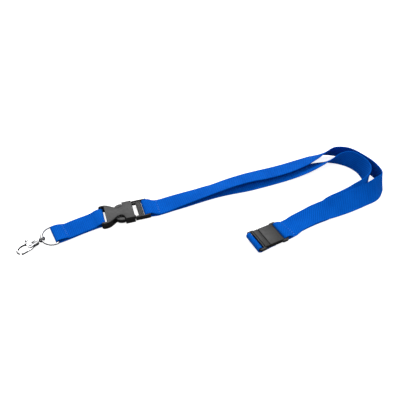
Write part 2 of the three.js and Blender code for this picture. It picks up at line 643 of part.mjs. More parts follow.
function shortRoute() {
  const ringFold = barFold(RING_WIRE);
  const buckleFold = barFold(BUCKLE_BAR_RADIUS);
  const lower = LOWER_Z + 0.25;
  const upper = lower + LAYER_STEP;
  const b = (x, z) => station(buckleAt(FEMALE_BAR_X + x, 0, z), BUCKLE_HEADING + 90);
  const r = (x, z) => station(ringAt(x, 0, z), RING_HEADING + 90);
  const l = (t, z) => {
    const at = shortLine.getPoint(t);
    const ahead = shortLine.getTangent(t);
    at.z = z;
    return station(at, THREE.MathUtils.radToDeg(Math.atan2(ahead.y, ahead.x)) + 90);
  };
  return [
    l(0.4, upper),
    l(0.26, upper + 0.05),
    l(0.12, EYE_Z + ringFold * 0.72),
    r(0, EYE_Z + ringFold),
    r(-ringFold * 0.72, EYE_Z + ringFold * 0.7),
    r(-ringFold, EYE_Z),
    r(-ringFold * 0.72, EYE_Z - ringFold * 0.7),
    r(0, EYE_Z - ringFold),
    l(0.12, lower + 0.15),
    l(0.26, lower),
    l(0.5, lower),
    l(0.72, lower + 0.1),
    l(0.88, lower + 0.5),
    b(0, BUCKLE_Z - buckleFold),
    b(buckleFold * 0.72, BUCKLE_Z - buckleFold * 0.7),
    b(buckleFold, BUCKLE_Z),
    b(buckleFold * 0.72, BUCKLE_Z + buckleFold * 0.7),
    b(0, BUCKLE_Z + buckleFold),
    l(0.91, upper + 2.7),
    l(0.82, upper + 0.8),
    l(0.72, upper + 0.15),
    l(0.56, upper + 0.05),
    l(0.41, upper + 0.02),
  ];
}

addPart(lanyard, 'short_strap', webbing(shortRoute()), blueWebbing);

// ---- neck strap ---------------------------------------------------------------------------

// The upper layer: from the socket's bar along the near leg, round the bend and back to the buckle.
const upperLeg = [
  place(89.5, -34.6, THIRD_Z - 0.2, -60, 0),
  place(98.9, -28.0, UPPER_Z + 0.6, -64, 3),
  place(109.0, -22.9, 4.1, -65, 9),
  place(117.0, -19.8, 4.9, -66, 16),
  place(128.7, -14.7, 4.9, -66, 24),
  place(142.0, -8.9, 5.5, -64, 29),
  place(157.0, -0.9, 5.8, -61, 31),
  place(166.8, 3.8, 7.0, -57, 40),
  place(173.6, 8.8, 8.7, -38, 56),
  place(180.6, 17.6, 10.0, -6, 77),
  place(177.8, 31.0, 10.4, 22, 82),
  place(168.8, 46.0, 10.4, 42, 82),
  place(155.8, 61.0, 10.1, 62, 74),
  place(141.0, 65.4, 9.7, 88, 63),
  place(130.4, 63.0, 8.8, 105, 47),
  place(119.5, 57.6, 7.6, 111, 31),
  place(108.0, 51.6, 6.3, 111, 21),
  place(96.0, 45.9, 5.4, 110, 16),
  place(82.0, 40.0, 4.7, 110, 13),
  place(66.0, 34.2, 4.5, 111, 12),
  place(49.0, 28.2, 4.9, 113, 15),
  place(32.0, 20.6, 5.2, 116, 17),
  place(15.0, 11.4, 5.5, 118, 18),
  place(-2.0, 3.6, 4.9, 118, 14),
  place(-17.0, -2.3, 3.6, 114, 8),
  place(-28.0, -6.6, UPPER_Z + 0.4, 110, 3),
];

// The lower layer: from the buckle along the far leg, round the bend inside the upper layer.
const lowerLeg = [
  place(-28.0, -6.2, LOWER_Z, 110, 0),
  place(-17.0, -1.4, LOWER_Z, 114, 0),
  place(-2.0, 5.6, LOWER_Z, 116, 0),
  place(12.0, 11.6, LOWER_Z, 114, 0),
  place(26.0, 16.4, LOWER_Z, 109, 0),
  place(36.0, 19.2, LOWER_Z, 107, 0),
  place(46.0, 22.0, LOWER_Z, 109, 0),
  place(57.0, 26.0, LOWER_Z, 111, 0),
  place(69.0, 30.6, LOWER_Z, 111, 0),
  place(82.0, 35.2, LOWER_Z + 0.4, 110, 2),
  place(96.0, 39.6, 2.0, 109, 8),
  place(110.0, 43.6, 3.8, 109, 18),
  place(123.0, 47.4, 6.2, 107, 32),
  place(135.0, 50.8, 8.6, 104, 50),
  place(146.0, 52.6, 10.0, 92, 74),
  place(156.0, 50.6, 10.5, 62, 94),
  place(164.4, 42.0, 10.4, 32, 100),
  place(168.0, 30.0, 10.3, 0, 102),
  place(166.8, 18.8, 10.3, -26, 90),
  place(161.8, 8.4, 8.8, -50, 58),
  place(153.0, 2.2, 6.1, -60, 34),
  place(141.0, -5.0, 5.2, -63, 27),
  place(127.5, -12.0, 4.3, -66, 20),
  place(116.5, -18.6, 1.4, -66, 4),
  place(105.5, -24.0, LOWER_Z, -64, 0),
];

function neckRoute() {
  const across = BREAK_HEADING - 90;
  const breakFold = barFold(BREAK_BAR_RADIUS);
  const buckleFold = barFold(MALE_BAR_RADIUS);
  const buckleAcross = BUCKLE_HEADING + 90;
  const b = (x, z) => station(breakAt(x, 0, z), across);
  const m = (x, z) => station(buckleAt(MALE_BAR_X + x, 0, z), buckleAcross);
  const bar = BREAK_BAR_X;
  return [
    station(breakAt(bar + 13, 1.6, UPPER_Z), across + 6),
    station(breakAt(bar + 8, 0.8, UPPER_Z), across + 6),
    station(breakAt(bar + 3.5, 0.2, UPPER_Z + 0.35), across + 3),
    b(bar, BREAK_Z - breakFold),
    b(bar - breakFold * 0.72, BREAK_Z - breakFold * 0.7),
    b(bar - breakFold, BREAK_Z),
    b(bar - breakFold * 0.72, BREAK_Z + breakFold * 0.7),
    b(bar, BREAK_Z + breakFold),
    b(bar + 3.5, BREAK_Z + breakFold * 0.7),
    b(bar + 8, THIRD_Z + 0.2),
    ...upperLeg,
    m(14, UPPER_Z + 0.1),
    m(9, UPPER_Z + 0.9),
    m(4, BUCKLE_Z + buckleFold * 0.85),
    m(0, BUCKLE_Z + buckleFold),
    m(-buckleFold * 0.72, BUCKLE_Z + buckleFold * 0.7),
    m(-buckleFold, BUCKLE_Z),
    m(-buckleFold * 0.72, BUCKLE_Z - buckleFold * 0.7),
    m(0, BUCKLE_Z - buckleFold),
    m(5, LOWER_Z + 0.4),
    m(10, LOWER_Z),
    ...lowerLeg,
    station(breakAt(CUT_X + 11, 4.6, LOWER_Z), across + 2),
    station(breakAt(CUT_X + 1, CUT_Y, LOWER_Z), across + 5),
    station(breakAt(CUT_X, CUT_Y - 0.07, LOWER_Z), across + 5),
  ];
}

function neckEndRoute() {
  const across = BREAK_HEADING - 90;
  const fold = barFold(BREAK_BAR_RADIUS);
  const b = (x, z) => station(breakAt(x, 0, z), across);
  const bar = TONGUE_BAR_X;
  return [
    station(breakAt(CUT_X - PART_GAP, CUT_Y - 0.09, LOWER_Z), across + 5),
    station(breakAt(24, 3.0, LOWER_Z), across + 5),
    station(breakAt(10, 1.6, LOWER_Z), across + 5),
    station(breakAt(bar + 4, 0.3, LOWER_Z), across + 3),
    b(bar + 1.0, LOWER_Z + 0.35),
    b(bar - 1.0, LOWER_Z + 1.5),
    b(bar - fold * 0.9, BREAK_Z - fold * 0.7),
    b(bar - fold, BREAK_Z),
    b(bar - fold * 0.72, BREAK_Z + fold * 0.7),
    b(bar, BREAK_Z + fold),
    b(bar + fold * 0.72, BREAK_Z + fold * 0.7),
    b(bar + fold, BREAK_Z),
    b(bar + fold + 0.5, BREAK_Z - fold),
    b(bar + fold + 3, UPPER_Z),
    b(bar + fold + 9, UPPER_Z),
    b(bar + fold + 15, UPPER_Z),
  ];
}

addPart(lanyard, 'neck_strap', webbing(neckRoute()), blueWebbing);
addPart(lanyard, 'neck_strap_tongue_end', webbing(neckEndRoute()), blueWebbing);

const ringRow = stitches(shortRoute(), ringAt, RING_ROW);
const buckleRow = stitches(neckRoute(), buckleAt, MALE_BAR_X + BUCKLE_ROW);
const socketRow = stitches(neckRoute(), breakAt, BREAK_BAR_X + SOCKET_ROW);
addPart(lanyard, 'stitch_row_ring', ringRow, blueThread);
addPart(lanyard, 'stitch_row_buckle', buckleRow, blueThread);
addPart(lanyard, 'stitch_row_socket', socketRow, blueThread);

// The whole object stands on z = 0 with the middle of its plan at the origin.
const extent = new THREE.Box3().setFromObject(lanyard, true);
const middle = extent.getCenter(new THREE.Vector3());
lanyard.position.set(-middle.x, -middle.y, -extent.min.z);

export default lanyard;
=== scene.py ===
"""A neck lanyard of blue webbing with black buckles and bright metal ends, lying on a pale floor."""
import math

import bmesh
import bpy
import numpy as np
from mathutils import Matrix, Vector


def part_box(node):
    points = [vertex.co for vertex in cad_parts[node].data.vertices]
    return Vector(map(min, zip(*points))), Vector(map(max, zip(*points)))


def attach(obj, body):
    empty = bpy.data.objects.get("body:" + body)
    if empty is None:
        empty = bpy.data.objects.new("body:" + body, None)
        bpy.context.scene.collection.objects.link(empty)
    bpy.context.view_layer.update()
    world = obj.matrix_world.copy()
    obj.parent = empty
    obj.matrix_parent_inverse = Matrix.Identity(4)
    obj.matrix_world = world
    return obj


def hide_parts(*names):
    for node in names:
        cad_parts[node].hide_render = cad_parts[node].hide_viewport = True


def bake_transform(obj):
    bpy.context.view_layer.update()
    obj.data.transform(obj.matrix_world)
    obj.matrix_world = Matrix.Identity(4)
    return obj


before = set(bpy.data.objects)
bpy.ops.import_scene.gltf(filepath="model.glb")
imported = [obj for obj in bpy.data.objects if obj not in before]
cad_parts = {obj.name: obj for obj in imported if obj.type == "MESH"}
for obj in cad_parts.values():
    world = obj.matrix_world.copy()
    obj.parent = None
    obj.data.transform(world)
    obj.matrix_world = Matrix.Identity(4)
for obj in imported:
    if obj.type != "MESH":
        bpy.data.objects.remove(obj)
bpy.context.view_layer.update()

# ---- sizes, in millimetres unless they say otherwise ------------------------------------

MM = 0.001
WEB_WIDTH = 20.0
WEB_THICKNESS = 1.0
LAYER_GAP = 0.4
FLOOR_GAP = 0.12
BAR_CLEARANCE = 0.35
PART_GAP = 0.3

BUCKLE = (-63.2, -19.2, 17.5)       # x, y and heading of the buckle's mouth
BUCKLE_Z = 3.8
FEMALE_BAR_X = -30.2
FEMALE_BAR_RADIUS = 1.2
MALE_BAR_X = 11.9
MALE_BAR_RADIUS = 1.3
BREAKAWAY = (57.0, -55.3, 28.0)     # x, y and heading of the breakaway's seam
BREAKAWAY_Z = 5.22
BREAKAWAY_BAR_RADIUS = 1.1
SOCKET_BAR_X = 18.1
TONGUE_BAR_X = -10.2
RING = (-130.6, -49.2, 29.0)        # x, y and heading of the D-ring's bar
RING_Z = 3.22
RING_WIRE = 1.0
SHORT_REACH = 15.0
CUT_X = 34.0
CUT_Y = 3.9

RIB_PITCH = 1.05                    # cross ribs of the weave
RIB_HEIGHT = 0.035
SELVAGE_WIDTH = 0.9
SELVAGE_HEIGHT = 0.06
STEPS_PER_RIB = 4
YARN_PITCH = 1.3
TWILL_ALONG = 2.2
TWILL_ACROSS = 3.2

CAMERA_ELEVATION = 43.0             # degrees
CAMERA_DISTANCE = 490.0
CAMERA_LENS = 45.0                  # on a 36 mm sensor

SKY_STRENGTH = 0.62
KEY_POWER = 9.5
FILL_POWER = 2.5
SIDE_POWER = 0.9
FLOOR_BOUNCE = 0.52                 # how pale the floor is to the light that falls on the pieces
FLOOR_MIRRORED = 0.08               # the same, as shiny pieces mirror it
FLOOR_GLOW = 0.80                   # lifts the floor to white, and its shadows with it

STITCH_PITCH = 2.4                  # of the dashes along a sewn row
STITCH_LENGTH = 1.9
STITCH_RADIUS = 0.33
STITCH_MARGIN = 1.5                 # from the band's edge to the first dash
DENT_DEPTH = 0.16                   # of the webbing under a sewn row
DENT_WIDTH = 0.8
DENT_REACH = 2.5                    # how near a row has to be to dent a band

LAYER_STEP = WEB_THICKNESS + LAYER_GAP
LOWER_Z = FLOOR_GAP + WEB_THICKNESS / 2
UPPER_Z = LOWER_Z + LAYER_STEP
THIRD_Z = UPPER_Z + LAYER_STEP


# ---- places on the object ----------------------------------------------------------------

def local_frame(frame_at):
    """Turns (along, across, up) beside a piece into a point of the whole object."""
    x, y, heading = frame_at
    c, s = math.cos(math.radians(heading)), math.sin(math.radians(heading))
    return lambda along, across, up: np.array([x + along * c - across * s, y + along * s + across * c, up])


buckle_at = local_frame(BUCKLE)
breakaway_at = local_frame(BREAKAWAY)
ring_at = local_frame(RING)


def station(at, across, dip=0.0):
    """The middle of the band, its outer edge's direction in plan, and that edge's dip, in degrees."""
    return (*at, across, dip)


def place(x, y, z, across, dip):
    return (x, y, z, across, dip)


def bar_fold(radius):
    return radius + BAR_CLEARANCE + WEB_THICKNESS / 2


UPPER_LEG = [
    place(89.5, -34.6, THIRD_Z - 0.2, -60, 0),
    place(98.9, -28.0, UPPER_Z + 0.6, -64, 3),
    place(109.0, -22.9, 4.1, -65, 9),
    place(117.0, -19.8, 4.9, -66, 16),
    place(128.7, -14.7, 4.9, -66, 24),
    place(142.0, -8.9, 5.5, -64, 29),
    place(157.0, -0.9, 5.8, -61, 31),
    place(166.8, 3.8, 7.0, -57, 40),
    place(173.6, 8.8, 8.7, -38, 56),
    place(180.6, 17.6, 10.0, -6, 77),
    place(177.8, 31.0, 10.4, 22, 82),
    place(168.8, 46.0, 10.4, 42, 82),
    place(155.8, 61.0, 10.1, 62, 74),
    place(141.0, 65.4, 9.7, 88, 63),
    place(130.4, 63.0, 8.8, 105, 47),
    place(119.5, 57.6, 7.6, 111, 31),
    place(108.0, 51.6, 6.3, 111, 21),
    place(96.0, 45.9, 5.4, 110, 16),
    place(82.0, 40.0, 4.7, 110, 13),
    place(66.0, 34.2, 4.5, 111, 12),
    place(49.0, 28.2, 4.9, 113, 15),
    place(32.0, 20.6, 5.2, 116, 17),
    place(15.0, 11.4, 5.5, 118, 18),
    place(-2.0, 3.6, 4.9, 118, 14),
    place(-17.0, -2.3, 3.6, 114, 8),
    place(-28.0, -6.6, UPPER_Z + 0.4, 110, 3),
]

LOWER_LEG = [
    place(-28.0, -6.2, LOWER_Z, 110, 0),
    place(-17.0, -1.4, LOWER_Z, 114, 0),
    place(-2.0, 5.6, LOWER_Z, 116, 0),
    place(12.0, 11.6, LOWER_Z, 114, 0),
    place(26.0, 16.4, LOWER_Z, 109, 0),
    place(36.0, 19.2, LOWER_Z, 107, 0),
    place(46.0, 22.0, LOWER_Z, 109, 0),
    place(57.0, 26.0, LOWER_Z, 111, 0),
    place(69.0, 30.6, LOWER_Z, 111, 0),
    place(82.0, 35.2, LOWER_Z + 0.4, 110, 2),
    place(96.0, 39.6, 2.0, 109, 8),
    place(110.0, 43.6, 3.8, 109, 18),
    place(123.0, 47.4, 6.2, 107, 32),
    place(135.0, 50.8, 8.6, 104, 50),
    place(146.0, 52.6, 10.0, 92, 74),
    place(156.0, 50.6, 10.5, 62, 94),
    place(164.4, 42.0, 10.4, 32, 100),
    place(168.0, 30.0, 10.3, 0, 102),
    place(166.8, 18.8, 10.3, -26, 90),
    place(161.8, 8.4, 8.8, -50, 58),
    place(153.0, 2.2, 6.1, -60, 34),
    place(141.0, -5.0, 5.2, -63, 27),
    place(127.5, -12.0, 4.3, -66, 20),
    place(116.5, -18.6, 1.4, -66, 4),
    place(105.5, -24.0, LOWER_Z, -64, 0),
]


def neck_strap_route():
    across = BREAKAWAY[2] - 90
    fold = bar_fold(BREAKAWAY_BAR_RADIUS)
    buckle_fold = bar_fold(MALE_BAR_RADIUS)
    bar = SOCKET_BAR_X

    def b(x, z):
        return station(breakaway_at(x, 0, z), across)

    def m(x, z):
        return station(buckle_at(MALE_BAR_X + x, 0, z), BUCKLE[2] + 90)

    return [
        station(breakaway_at(bar + 13, 1.6, UPPER_Z), across + 6),
        station(breakaway_at(bar + 8, 0.8, UPPER_Z), across + 6),
        station(breakaway_at(bar + 3.5, 0.2, UPPER_Z + 0.35), across + 3),
        b(bar, BREAKAWAY_Z - fold),
        b(bar - fold * 0.72, BREAKAWAY_Z - fold * 0.7),
        b(bar - fold, BREAKAWAY_Z),
        b(bar - fold * 0.72, BREAKAWAY_Z + fold * 0.7),
        b(bar, BREAKAWAY_Z + fold),
        b(bar + 3.5, BREAKAWAY_Z + fold * 0.7),
        b(bar + 8, THIRD_Z + 0.2),
        *UPPER_LEG,
        m(14, UPPER_Z + 0.1),
        m(9, UPPER_Z + 0.9),
        m(4, BUCKLE_Z + buckle_fold * 0.85),
        m(0, BUCKLE_Z + buckle_fold),
        m(-buckle_fold * 0.72, BUCKLE_Z + buckle_fold * 0.7),
        m(-buckle_fold, BUCKLE_Z),
        m(-buckle_fold * 0.72, BUCKLE_Z - buckle_fold * 0.7),
        m(0, BUCKLE_Z - buckle_fold),
        m(5, LOWER_Z + 0.4),
        m(10, LOWER_Z),
        *LOWER_LEG,
        station(breakaway_at(CUT_X + 11, 4.6, LOWER_Z), across + 2),
        station(breakaway_at(CUT_X + 1, CUT_Y, LOWER_Z), across + 5),
        station(breakaway_at(CUT_X, CUT_Y - 0.07, LOWER_Z), across + 5),
    ]


def tongue_end_route():
    across = BREAKAWAY[2] - 90
    fold = bar_fold(BREAKAWAY_BAR_RADIUS)
    bar = TONGUE_BAR_X

    def b(x, z):
        return station(breakaway_at(x, 0, z), across)

    return [
        station(breakaway_at(CUT_X - PART_GAP, CUT_Y - 0.09, LOWER_Z), across + 5),
        station(breakaway_at(24, 3.0, LOWER_Z), across + 5),
        station(breakaway_at(10, 1.6, LOWER_Z), across + 5),
        station(breakaway_at(bar + 4, 0.3, LOWER_Z), across + 3),
        b(bar + 1.0, LOWER_Z + 0.35),
        b(bar - 1.0, LOWER_Z + 1.5),
        b(bar - fold * 0.9, BREAKAWAY_Z - fold * 0.7),
        b(bar - fold, BREAKAWAY_Z),
        b(bar - fold * 0.72, BREAKAWAY_Z + fold * 0.7),
        b(bar, BREAKAWAY_Z + fold),
        b(bar + fold * 0.72, BREAKAWAY_Z + fold * 0.7),
        b(bar + fold, BREAKAWAY_Z),
        b(bar + fold + 0.5, BREAKAWAY_Z - fold),
        b(bar + fold + 3, UPPER_Z),
        b(bar + fold + 9, UPPER_Z),
        b(bar + fold + 15, UPPER_Z),
    ]


def short_strap_route():
    ring_fold = bar_fold(RING_WIRE)
    buckle_fold = bar_fold(FEMALE_BAR_RADIUS)
    lower = LOWER_Z + 0.25
    upper = lower + LAYER_STEP
    ends = [
        ring_at(0, 0, 0),
        ring_at(SHORT_REACH, 0, 0),
        buckle_at(FEMALE_BAR_X - SHORT_REACH, 0, 0),
        buckle_at(FEMALE_BAR_X, 0, 0),
    ]

    def b(x, z):
        return station(buckle_at(FEMALE_BAR_X + x, 0, z), BUCKLE[2] + 90)

    def r(x, z):
        return station(ring_at(x, 0, z), RING[2] + 90)

    def l(t, z):
        u = 1 - t
        at = u**3 * ends[0] + 3 * u * u * t * ends[1] + 3 * u * t * t * ends[2] + t**3 * ends[3]
        ahead = u * u * (ends[1] - ends[0]) + 2 * u * t * (ends[2] - ends[1]) + t * t * (ends[3] - ends[2])
        at[2] = z
        return station(at, math.degrees(math.atan2(ahead[1], ahead[0])) + 90)

    return [
        l(0.4, upper),
        l(0.26, upper + 0.05),
        l(0.12, RING_Z + ring_fold * 0.72),
        r(0, RING_Z + ring_fold),
        r(-ring_fold * 0.72, RING_Z + ring_fold * 0.7),
        r(-ring_fold, RING_Z),
        r(-ring_fold * 0.72, RING_Z - ring_fold * 0.7),
        r(0, RING_Z - ring_fold),
        l(0.12, lower + 0.15),
        l(0.26, lower),
        l(0.5, lower),
        l(0.72, lower + 0.1),
        l(0.88, lower + 0.5),
        b(0, BUCKLE_Z - buckle_fold),
        b(buckle_fold * 0.72, BUCKLE_Z - buckle_fold * 0.7),
        b(buckle_fold, BUCKLE_Z),
        b(buckle_fold * 0.72, BUCKLE_Z + buckle_fold * 0.7),
        b(0, BUCKLE_Z + buckle_fold),
        l(0.91, upper + 2.7),
        l(0.82, upper + 0.8),
        l(0.72, upper + 0.15),
        l(0.56, upper + 0.05),
        l(0.41, upper + 0.02),
    ]


# ---- a band of webbing -------------------------------------------------------------------

def centripetal(points, t):
    """A centripetal Catmull-Rom curve through the points, at the shares t of its spans."""
    p = np.vstack([2 * points[0] - points[1], points, 2 * points[-1] - points[-2]])
    spans = len(points) - 1
    x = np.clip(t, 0, 1) * spans
    i = np.minimum(x.astype(int), spans - 1)
    w = (x - i)[:, None]
    p0, p1, p2, p3 = p[i], p[i + 1], p[i + 2], p[i + 3]

    def knot(a, b):
        return (((a - b) ** 2).sum(1) ** 0.25)[:, None]

    d1 = knot(p1, p2)
    d1 = np.where(d1 < 1e-4, 1.0, d1)
    d0 = knot(p0, p1)
    d0 = np.where(d0 < 1e-4, d1, d0)
    d2 = knot(p2, p3)
    d2 = np.where(d2 < 1e-4, d1, d2)
    m1 = ((p1 - p0) / d0 - (p2 - p0) / (d0 + d1) + (p2 - p1) / d1) * d1
    m2 = ((p2 - p1) / d1 - (p3 - p1) / (d1 + d2) + (p3 - p2) / d2) * d1
    return p1 + m1 * w + (3 * (p2 - p1) - 2 * m1 - m2) * w**2 + (2 * (p1 - p2) + m1 + m2) * w**3


def band_frames(route, t):
    """The middle, and the directions across and out of the face, of the band at each t."""
    route = np.array(route, float)
    middle = centripetal(route[:, :3], t)
    step = 1e-4
    tangent = centripetal(route[:, :3], t + step) - centripetal(route[:, :3], t - step)
    tangent /= np.linalg.norm(tangent, axis=1)[:, None]
    angles = np.radians(centripetal(np.c_[route[:, 3:], np.zeros(len(route))], t))
    across, dip = angles[:, 0], angles[:, 1]
    width = np.c_[np.cos(across) * np.cos(dip), np.sin(across) * np.cos(dip), -np.sin(dip)]
    width -= (width * tangent).sum(1)[:, None] * tangent
    width /= np.linalg.norm(width, axis=1)[:, None]
    normal = np.cross(tangent, width)
    return middle, width, normal


def even_steps(route, step):
    """Shares t that lie evenly along the band, and the distance along it at each."""
    t = np.linspace(0, 1, 200 * (len(route) - 1))
    middle = centripetal(np.array(route, float)[:, :3], t)
    along = np.r_[0, np.cumsum(np.linalg.norm(np.diff(middle, axis=0), axis=1))]
    count = int(round(along[-1] / step)) + 1
    distance = np.linspace(0, along[-1], count)
    return np.interp(distance, along, t), distance


def band_profile():
    """The band's section, once round: across, out of the face, and the share of a rib at each point."""
    half, thick = WEB_WIDTH / 2, WEB_THICKNESS / 2
    face = []
    for x in np.r_[-1, -0.97, -0.93, -0.88, np.linspace(-0.8, 0.8, 7), 0.88, 0.93, 0.97, 1]:
        edge = half * (1 - abs(x))
        rise = SELVAGE_HEIGHT * math.exp(-((edge - SELVAGE_WIDTH / 2) / (SELVAGE_WIDTH / 2)) ** 2)
        if abs(x) < 1:
            face.append((x * (half - 0.25), thick - SELVAGE_HEIGHT + rise, min(1.0, edge / 0.5)))
    side = [(half - 0.06, thick * 0.62, 0.3), (half, 0.0, 0.2), (half - 0.06, -thick * 0.62, 0.3)]
    other_side = [(-x, -y, r) for x, y, r in side]
    return np.array(face + side + [(-x, -y, r) for x, y, r in face] + other_side)


def webbing(name, route, dents=(), joined=False):
    """A band of woven webbing along a route, its ends joined if asked; a sewn row dents its faces."""
    t, along = even_steps(route, RIB_PITCH / STEPS_PER_RIB)
    middle, width, normal = band_frames(route, t)
    profile = band_profile()
    rib = RIB_HEIGHT * np.cos(2 * math.pi * along / RIB_PITCH)
    for dent in dents:
        gap = np.linalg.norm(middle - dent, axis=1)
        nearest = gap.argmin()
        if gap[nearest] < DENT_REACH:
            rib = rib - DENT_DEPTH * np.exp(-((along - along[nearest]) / DENT_WIDTH) ** 2)
    ends = np.minimum(along, along[-1] - along)
    fray = np.ones(len(t)) if joined else 1 - 0.35 * np.exp(-ends / 0.3)
    count, around = len(t), len(profile)
    out = profile[:, 1][None, :] + np.sign(profile[:, 1])[None, :] * rib[:, None] * profile[:, 2][None, :]
    out *= fray[:, None]
    points = (
        middle[:, None, :]
        + width[:, None, :] * profile[:, 0][None, :, None]
        + normal[:, None, :] * out[:, :, None]
    )
    points = points.reshape(-1, 3)
    i, k = np.meshgrid(np.arange(count if joined else count - 1), np.arange(around), indexing="ij")
    i, k = i.ravel(), k.ravel()
    nxt, ahead = (k + 1) % around, (i + 1) % count
    quads = np.c_[i * around + k, ahead * around + k, ahead * around + nxt, i * around + nxt]
    caps = [tuple(range(around)), tuple(range((count - 1) * around, count * around))[::-1]]
    faces = [tuple(int(v) for v in q) for q in quads] + ([] if joined else caps)
    mesh = bpy.data.meshes.new(name)
    mesh.from_pydata([tuple(p) for p in (points + ORIGIN) * MM], [], faces)
    loop = np.vstack([profile[:, :2], profile[:1, :2]])
    girth = np.r_[0, np.cumsum(np.linalg.norm(np.diff(loop, axis=0), axis=1))]
    uv = mesh.uv_layers.new(name="weave")
    coords = np.zeros((len(mesh.loops), 2), np.float32)
    a, b = along[i], along[i] + along[1]
    u0, u1 = girth[k], girth[k + 1]
    quad_uv = np.stack([np.c_[a, u0], np.c_[b, u0], np.c_[b, u1], np.c_[a, u1]], axis=1).reshape(-1, 2)
    coords[: len(quad_uv)] = quad_uv
    uv.data.foreach_set("uv", coords.ravel())
    mesh.shade_smooth()
    mesh.validate()
    bm = bmesh.new()
    bm.from_mesh(mesh)
    bmesh.ops.recalc_face_normals(bm, faces=bm.faces)
    bm.to_mesh(mesh)
    bm.free()
    piece = bpy.data.objects.new(name, mesh)
    bpy.context.scene.collection.objects.link(piece)
    return piece


def cad_origin():
    """The shift that puts the routes above on the CAD's neck strap, in millimetres."""
    route = neck_strap_route()
    t = np.linspace(0, 1, 4 * (len(route) - 1) + 1)
    middle, width, normal = band_frames(route, t)
    corners = np.vstack([
        middle + w * width * WEB_WIDTH / 2 + n * normal * WEB_THICKNESS / 2 for w in (-1, 1) for n in (-1, 1)
    ])
    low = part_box("neck_strap")[0]
    return np.array(low) / MM - corners.min(0)


ORIGIN = cad_origin()


def at(point):
    return Vector((np.array(point) + ORIGIN) * MM)


# ---- camera, floor and light -------------------------------------------------------------

def make_camera():
    elevation = math.radians(CAMERA_ELEVATION)
    target = at((0, 0, 0))
    data = bpy.data.cameras.new("camera")
    data.lens = CAMERA_LENS
    data.sensor_width = 36
    data.clip_start, data.clip_end = 0.01, 20
    camera = bpy.data.objects.new("camera", data)
    back = Vector((0, -math.cos(elevation), math.sin(elevation)))
    camera.location = target + back * CAMERA_DISTANCE * MM
    camera.rotation_euler = (-back).to_track_quat("-Z", "Y").to_euler()
    bpy.context.scene.collection.objects.link(camera)
    bpy.context.scene.camera = camera


def make_light():
    """A soft box overhead and behind, two weak fills, and a sky that is dark at the horizon."""
    world = bpy.data.worlds.new("studio")
    world.use_nodes = True
    nodes, links = world.node_tree.nodes, world.node_tree.links
    background = nodes["Background"]
    coords = nodes.new("ShaderNodeTexCoord")
    split = nodes.new("ShaderNodeSeparateXYZ")
    ramp = nodes.new("ShaderNodeValToRGB")
    ramp.color_ramp.elements[0].position = 0.14
    ramp.color_ramp.elements[0].color = (0.05, 0.05, 0.055, 1)
    ramp.color_ramp.elements[1].position = 0.6
    ramp.color_ramp.elements[1].color = (1, 1, 1, 1)
    links.new(coords.outputs["Generated"], split.inputs[0])
    links.new(split.outputs["Z"], ramp.inputs[0])
    links.new(ramp.outputs[0], background.inputs["Color"])
    background.inputs["Strength"].default_value = SKY_STRENGTH
    bpy.context.scene.world = world
    for name, spot, size, power in (
        ("key", (-0.2, 0.75, 0.85), 0.9, KEY_POWER),
        ("fill", (0.45, -0.45, 0.9), 0.8, FILL_POWER),
        ("side", (0.95, -0.05, 0.3), 0.5, SIDE_POWER),
    ):
        lamp = bpy.data.lights.new(name, "AREA")
        lamp.size = size
        lamp.energy = power
        holder = bpy.data.objects.new(name, lamp)
        holder.location = spot
        holder.rotation_euler = Vector(spot).to_track_quat("Z", "Y").to_euler()
        bpy.context.scene.collection.objects.link(holder)


def make_floor():
    """A pale floor that looks white and throws little light back."""
    reach = 3.0
    drop = -0.0002
    corners = [(-reach, -reach, drop), (reach, -reach, drop), (reach, reach, drop), (-reach, reach, drop)]
    mesh = bpy.data.meshes.new("floor")
    mesh.from_pydata(corners, [], [(0, 1, 2, 3)])
    floor = bpy.data.objects.new("floor", mesh)
    bpy.context.scene.collection.objects.link(floor)
    material = bpy.data.materials.new("floor")
    material.use_nodes = True
    nodes, links = material.node_tree.nodes, material.node_tree.links
    shader = nodes["Principled BSDF"]
    shader.inputs["Roughness"].default_value = 0.8
    shader.inputs["Specular IOR Level"].default_value = 0.0
    path = nodes.new("ShaderNodeLightPath")
    seen = path.outputs["Is Camera Ray"]
    shade = nodes.new("ShaderNodeMath")
    shade.operation = "MULTIPLY_ADD"
    shade.inputs[1].default_value = FLOOR_MIRRORED - FLOOR_BOUNCE
    tone = nodes.new("ShaderNodeMapRange")
    tone.inputs["To Min"].default_value = FLOOR_BOUNCE
    tone.inputs["To Max"].default_value = 0.7
    glow = nodes.new("ShaderNodeMath")
    glow.operation = "MULTIPLY"
    glow.inputs[1].default_value = FLOOR_GLOW
    shader.inputs["Emission Color"].default_value = (1, 1, 1, 1)
    links.new(seen, tone.inputs["Value"])
    links.new(path.outputs["Is Glossy Ray"], shade.inputs[0])
    links.new(tone.outputs[0], shade.inputs[2])
    links.new(shade.outputs[0], shader.inputs["Base Color"])
    links.new(seen, glow.inputs[0])
    links.new(glow.outputs[0], shader.inputs["Emission Strength"])
    mesh.materials.append(material)


make_camera()
make_light()
make_floor()
bpy.context.scene.view_settings.view_transform = "Standard"


# ---- materials ---------------------------------------------------------------------------

